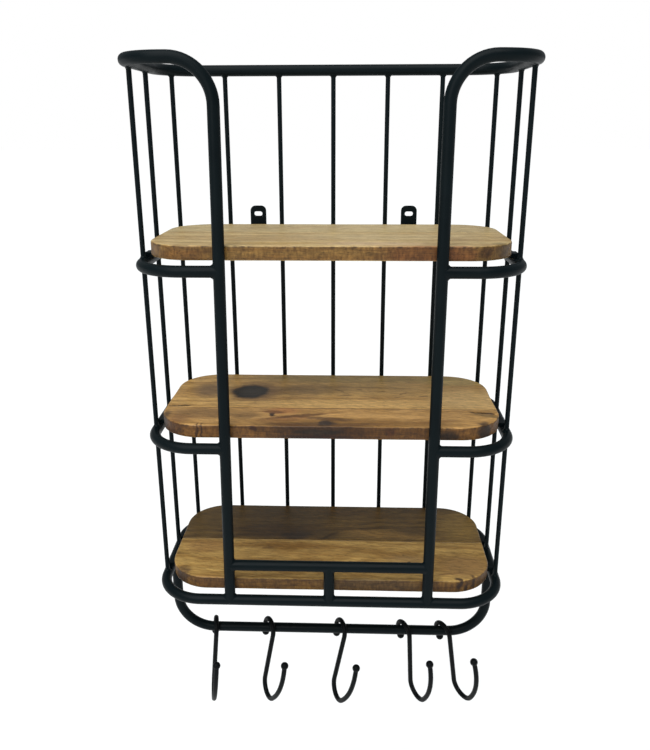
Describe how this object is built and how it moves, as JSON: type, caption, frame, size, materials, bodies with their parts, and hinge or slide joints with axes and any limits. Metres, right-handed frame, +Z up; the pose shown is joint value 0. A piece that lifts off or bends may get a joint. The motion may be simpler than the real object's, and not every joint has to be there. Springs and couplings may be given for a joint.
{
  "type": "wall rack with shelves and hooks",
  "caption": "Wall-hung rack: a cage of bent black tube and thin rods holding wooden shelves, with a guard rail, two slotted hanger plates and a U-shaped rail of S-hooks below.",
  "frame": {"origin": "midway between the two hanger slots, on the wall plane", "axes": "+X right, +Y into the wall, +Z up; the front faces -Y"},
  "size_m": [0.536, 0.26, 1.0313],
  "materials": {
    "frame_black": "satin black powder coat on steel tube, rod and plate",
    "hook_black": "satin black paint on bent wire",
    "mango_wood": "oiled mango wood with brown figure",
    "zinc_screw": "zinc-plated screw heads"
  },
  "bodies": {
    "rack": {"bottom_ring": "frame_black", "bottom_shelf_back_bearer": "frame_black", "bottom_shelf_back_board": "mango_wood", "bottom_shelf_front_bearer": "frame_black", "bottom_shelf_front_board": "mango_wood", "bottom_shelf_screws": "zinc_screw", "guard_post": "frame_black", "guard_rail": "frame_black", "hanger_plate_left": "frame_black", "hanger_plate_right": "frame_black", "hook_rail": "frame_black", "lower_middle_ring": "frame_black", "middle_shelf_back_bearer": "frame_black", "middle_shelf_back_board": "mango_wood", "middle_shelf_front_bearer": "frame_black", "middle_shelf_front_board": "mango_wood", "middle_shelf_screws": "zinc_screw", "rod_1": "frame_black", "rod_10": "frame_black", "rod_11": "frame_black", "rod_2": "frame_black", "rod_3": "frame_black", "rod_4": "frame_black", "rod_5": "frame_black", "rod_6": "frame_black", "rod_7": "frame_black", "rod_8": "frame_black", "rod_9": "frame_black", "top_shelf_back_bearer": "frame_black", "top_shelf_back_board": "mango_wood", "top_shelf_front_bearer": "frame_black", "top_shelf_front_board": "mango_wood", "top_shelf_screws": "zinc_screw", "upper_middle_ring": "frame_black", "uprights_and_top_hoop": "frame_black"},
    "hook_1": {"s_hook_1": "hook_black"},
    "hook_2": {"s_hook_2": "hook_black"},
    "hook_3": {"s_hook_3": "hook_black"},
    "hook_4": {"s_hook_4": "hook_black"},
    "hook_5": {"s_hook_5": "hook_black"}
  },
  "joints": [
    {"name": "hook_1_swing", "type": "hinge", "parent": "rack", "child": "hook_1", "pos_m": [-0.199, -0.13, -0.688], "axis": [-1, 0, 0], "range_deg": [-50, 75]},
    {"name": "hook_2_swing", "type": "hinge", "parent": "rack", "child": "hook_2", "pos_m": [-0.1065, -0.13, -0.688], "axis": [-1, 0, 0], "range_deg": [-50, 75]},
    {"name": "hook_3_swing", "type": "hinge", "parent": "rack", "child": "hook_3", "pos_m": [0.0165, -0.13, -0.688], "axis": [-1, 0, 0], "range_deg": [-50, 75]},
    {"name": "hook_4_swing", "type": "hinge", "parent": "rack", "child": "hook_4", "pos_m": [0.1245, -0.13, -0.688], "axis": [-1, 0, 0], "range_deg": [-50, 75]},
    {"name": "hook_5_swing", "type": "hinge", "parent": "rack", "child": "hook_5", "pos_m": [0.191, -0.13, -0.688], "axis": [-1, 0, 0], "range_deg": [-50, 75]}
  ]
}
